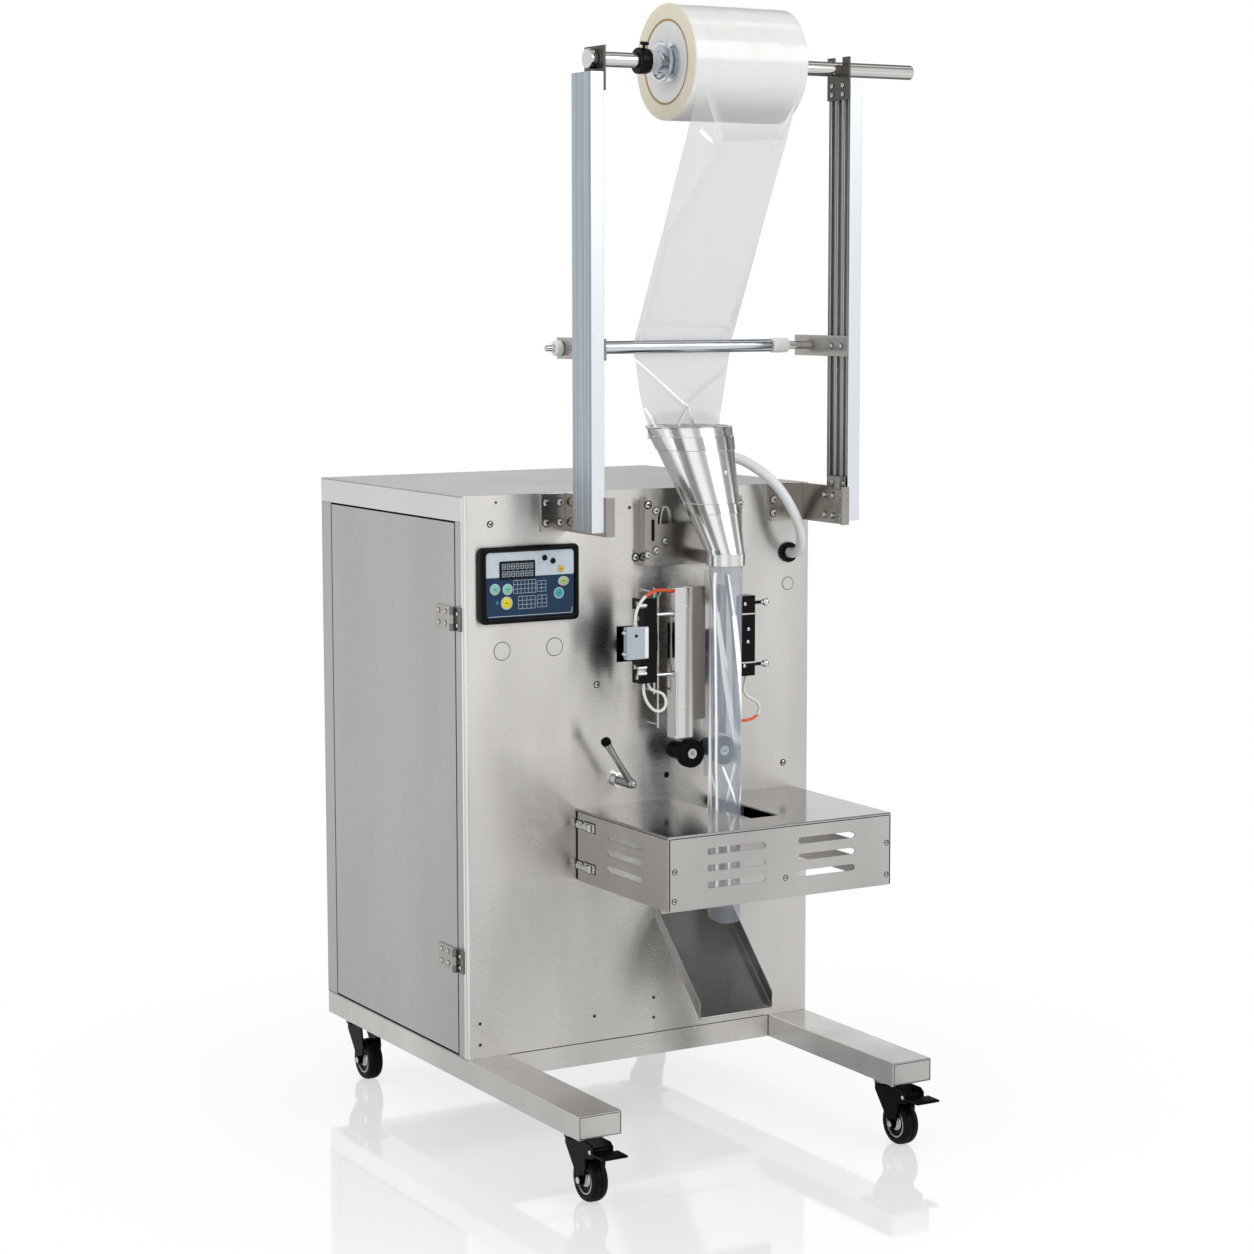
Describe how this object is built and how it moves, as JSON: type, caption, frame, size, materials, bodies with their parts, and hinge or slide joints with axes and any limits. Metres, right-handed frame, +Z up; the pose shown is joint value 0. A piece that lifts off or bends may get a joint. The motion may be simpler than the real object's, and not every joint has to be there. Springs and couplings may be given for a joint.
{
  "type": "pouch packing machine",
  "caption": "Small vertical form, fill and seal machine on casters, with a film reel on posts, a forming funnel, sealing bars, a guard and a chute.",
  "frame": {"origin": "the point on the floor under the centre of the machine's bounding box", "axes": "+X to the right along the front, +Y to the back, +Z up"},
  "size_m": [0.8374, 1.001, 1.923],
  "materials": {
    "stainless": "brushed",
    "zinc": "satin",
    "polished": "polished",
    "black_steel": "satin",
    "dark_steel": "satin",
    "anodised": "satin",
    "black_rubber": "matte",
    "black_plastic": "matte",
    "white_plastic": "matte",
    "film": "glossy",
    "bronze": "satin"
  },
  "bodies": {
    "chassis": {"base_legs": "stainless", "cross_beams": "stainless", "floor_plate": "stainless", "front_panel": "stainless", "back_panel": "stainless", "right_panel": "stainless", "top_cover": "stainless", "corner_posts": "stainless", "header_rails": "stainless", "hinge_frame_leaves": "stainless", "caster_plates": "black_steel", "reel_posts": "anodised", "post_arms": "stainless", "shaft_brackets": "dark_steel", "reel_shaft": "zinc", "shaft_collars": "black_plastic", "film_web": "film", "guide_axle": "zinc", "guide_brackets": "zinc", "forming_funnel": "polished", "funnel_bracket": "stainless", "film_tube": "film", "jaw_guide": "zinc", "roller_housings": "zinc", "lever_boss": "zinc", "guard_walls": "stainless", "guard_top": "stainless", "discharge_chute": "stainless", "control_panel": "black_plastic", "hose": "white_plastic", "hose_grommet": "black_rubber"},
    "side_door": {"side_door": "stainless", "hinge_door_leaves": "stainless"},
    "film_reel": {"film_roll": "film", "core_plugs": "white_plastic", "reel_cones": "zinc"},
    "guide_roller": {"guide_roller": "zinc"},
    "left_jaw": {"left_seal_bar": "zinc", "left_seal_face": "bronze", "left_jaw_carrier": "black_plastic", "clamp_block": "anodised", "heater_lead_upper": "white_plastic", "heater_lead_lower": "white_plastic"},
    "right_jaw": {"right_seal_bar": "zinc", "right_seal_face": "bronze", "right_jaw_carrier": "black_plastic", "heater_lead_right": "white_plastic"},
    "pull_roller_left": {"pull_roller_left": "black_rubber"},
    "pull_roller_right": {"pull_roller_right": "black_rubber"},
    "hand_lever": {"hand_lever": "zinc"},
    "fork_front_left": {"fork_front_left": "black_steel"},
    "wheel_front_left": {"wheel_front_left": "black_rubber"},
    "fork_front_right": {"fork_front_right": "black_steel"},
    "wheel_front_right": {"wheel_front_right": "black_rubber"},
    "fork_rear_left": {"fork_rear_left": "black_steel"},
    "wheel_rear_left": {"wheel_rear_left": "black_rubber"},
    "fork_rear_right": {"fork_rear_right": "black_steel"},
    "wheel_rear_right": {"wheel_rear_right": "black_rubber"},
    "brake_pedal_left": {"brake_pedal_left": "black_plastic"},
    "brake_pedal_right": {"brake_pedal_right": "black_plastic"}
  },
  "joints": [
    {"name": "side_door_hinge", "type": "hinge", "parent": "chassis", "child": "side_door", "pos_m": [-0.41375, -0.036, 0.634], "axis": [0, 0, 1], "range_deg": [0, 105]},
    {"name": "swivel_front_left", "type": "hinge", "parent": "chassis", "child": "fork_front_left", "pos_m": [-0.36825, -0.3925, 0.103], "axis": [0, 0, 1], "continuous": true},
    {"name": "spin_front_left", "type": "hinge", "parent": "fork_front_left", "child": "wheel_front_left", "pos_m": [-0.36825, -0.4205, 0.0375], "axis": [1, 0, 0], "continuous": true},
    {"name": "swivel_front_right", "type": "hinge", "parent": "chassis", "child": "fork_front_right", "pos_m": [0.24175, -0.3925, 0.103], "axis": [0, 0, 1], "continuous": true},
    {"name": "spin_front_right", "type": "hinge", "parent": "fork_front_right", "child": "wheel_front_right", "pos_m": [0.24175, -0.4205, 0.0375], "axis": [1, 0, 0], "continuous": true},
    {"name": "swivel_rear_left", "type": "hinge", "parent": "chassis", "child": "fork_rear_left", "pos_m": [-0.36825, 0.4405, 0.103], "axis": [0, 0, 1], "continuous": true},
    {"name": "spin_rear_left", "type": "hinge", "parent": "fork_rear_left", "child": "wheel_rear_left", "pos_m": [-0.36825, 0.4125, 0.0375], "axis": [1, 0, 0], "continuous": true},
    {"name": "swivel_rear_right", "type": "hinge", "parent": "chassis", "child": "fork_rear_right", "pos_m": [0.24175, 0.4405, 0.103], "axis": [0, 0, 1], "continuous": true},
    {"name": "spin_rear_right", "type": "hinge", "parent": "fork_rear_right", "child": "wheel_rear_right", "pos_m": [0.24175, 0.4125, 0.0375], "axis": [1, 0, 0], "continuous": true},
    {"name": "brake_left", "type": "hinge", "parent": "fork_front_left", "child": "brake_pedal_left", "pos_m": [-0.36825, -0.4525, 0.091], "axis": [1, 0, 0], "range_deg": [0, 15]},
    {"name": "brake_right", "type": "hinge", "parent": "fork_front_right", "child": "brake_pedal_right", "pos_m": [0.24175, -0.4525, 0.091], "axis": [1, 0, 0], "range_deg": [0, 15]},
    {"name": "reel_spin", "type": "hinge", "parent": "chassis", "child": "film_reel", "pos_m": [0.03175, -0.173, 1.827], "axis": [1, 0, 0], "continuous": true},
    {"name": "guide_spin", "type": "hinge", "parent": "chassis", "child": "guide_roller", "pos_m": [0.00575, -0.0575, 1.355], "axis": [1, 0, 0], "continuous": true},
    {"name": "left_jaw_slide", "type": "slide", "parent": "chassis", "child": "left_jaw", "axis": [1, 0, 0], "range_m": [0, 0.008]},
    {"name": "right_jaw_slide", "type": "slide", "parent": "chassis", "child": "right_jaw", "axis": [-1, 0, 0], "range_m": [0, 0.008]},
    {"name": "pull_spin_left", "type": "hinge", "parent": "chassis", "child": "pull_roller_left", "pos_m": [0.00375, -0.1125, 0.654], "axis": [0, 1, 0], "continuous": true},
    {"name": "pull_spin_right", "type": "hinge", "parent": "chassis", "child": "pull_roller_right", "pos_m": [0.06975, -0.1125, 0.654], "axis": [0, 1, 0], "continuous": true},
    {"name": "hand_lever_turn", "type": "hinge", "parent": "chassis", "child": "hand_lever", "pos_m": [-0.11525, -0.1075, 0.611], "axis": [0, 1, 0], "range_deg": [-30, 60]}
  ],
  "couplings": [
    {"joint": "right_jaw_slide", "follows": "left_jaw_slide", "ratio": 1},
    {"joint": "pull_spin_right", "follows": "pull_spin_left", "ratio": -1}
  ]
}
